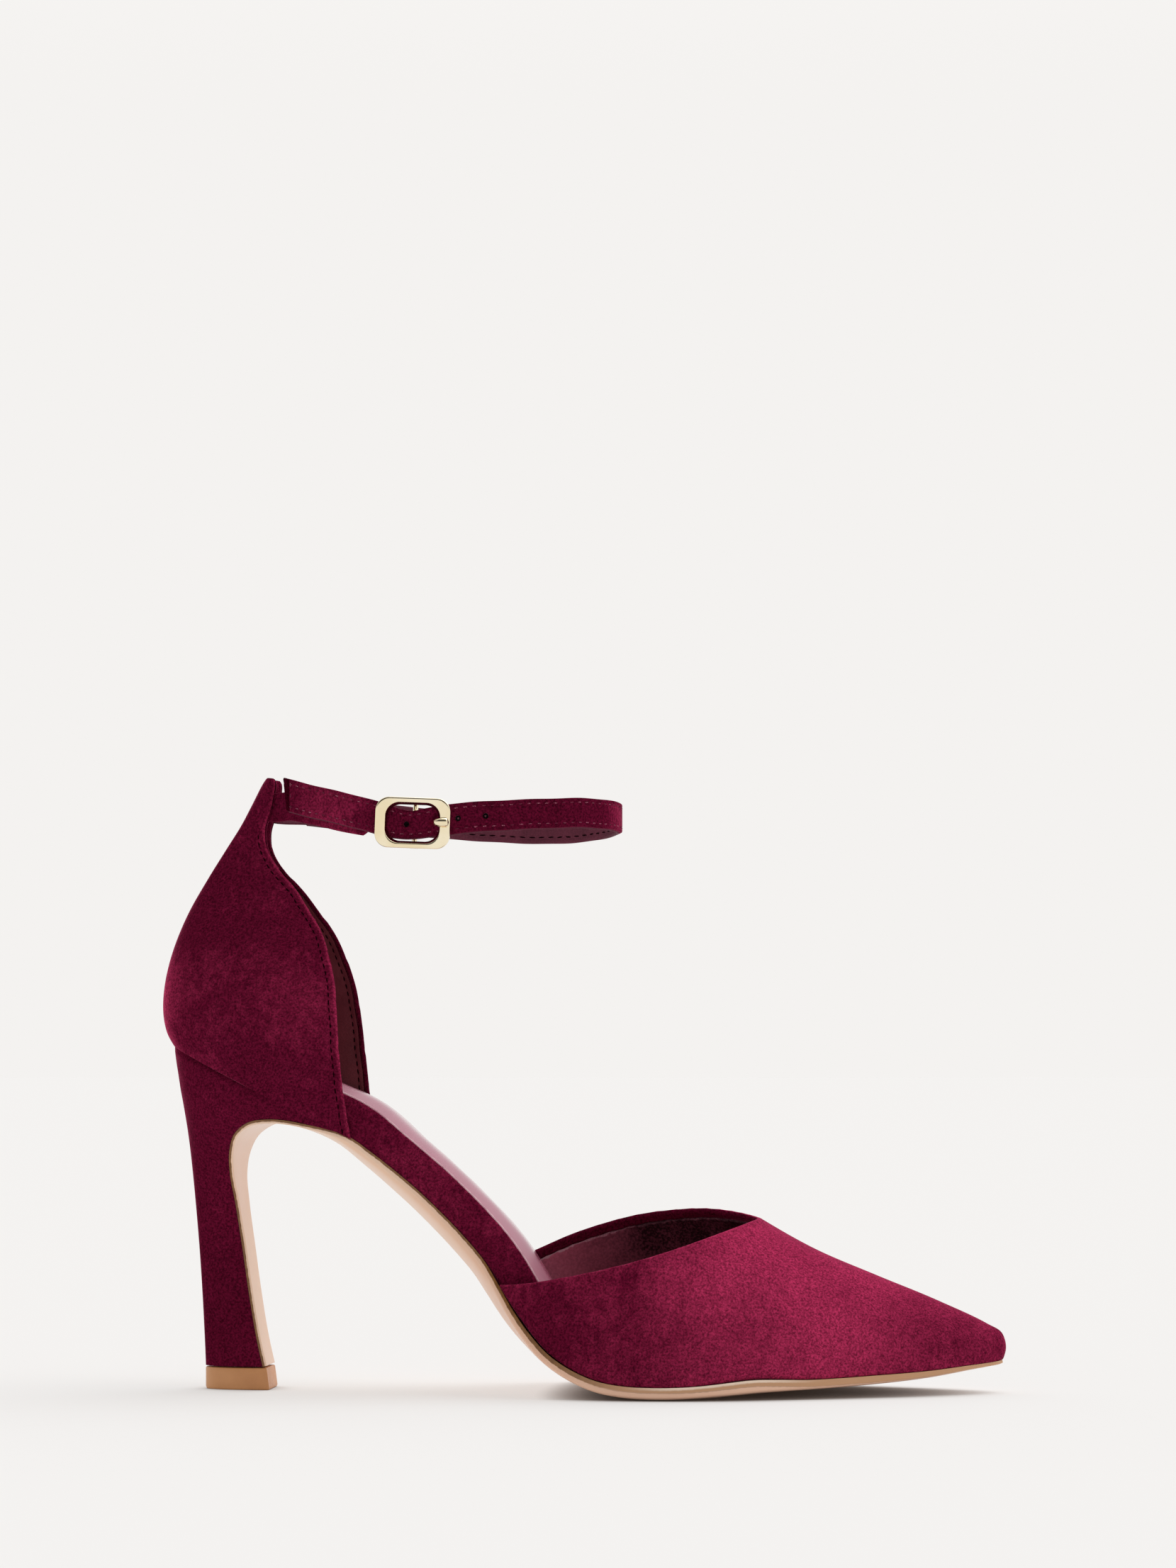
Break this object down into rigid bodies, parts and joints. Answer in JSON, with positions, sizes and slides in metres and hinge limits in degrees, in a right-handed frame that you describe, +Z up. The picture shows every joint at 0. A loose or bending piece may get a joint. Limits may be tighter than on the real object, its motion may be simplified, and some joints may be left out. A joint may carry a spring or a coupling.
{
  "type": "ankle-strap court shoe",
  "caption": "Women's high-heeled court shoe with a pointed toe, an open waist, a closed heel cup, a slim flared heel and a buckled ankle strap.",
  "frame": {"origin": "centre of the bounding box in plan, on the floor that the heel and the ball of the sole stand on", "axes": "+X towards the toe, +Y towards the inner side of the foot, +Z up"},
  "size_m": [0.2351, 0.0773, 0.171],
  "materials": {
    "suede": "burgundy suede with a short nap",
    "lining": "smooth plum lining leather with a soft gloss",
    "sole": "smooth nude sole with a brown painted edge",
    "top_piece": "satin bronze-brown",
    "buckle": "polished pale gold"
  },
  "bodies": {
    "root": {"vamp": "suede", "counter": "suede", "insole_board": "suede", "sock_lining": "lining", "outsole": "sole", "heel": "suede", "heel_top_piece": "top_piece", "ankle_strap": "suede", "buckle_frame": "buckle", "buckle_bar": "buckle", "buckle_prong": "buckle"}
  },
  "joints": []
}
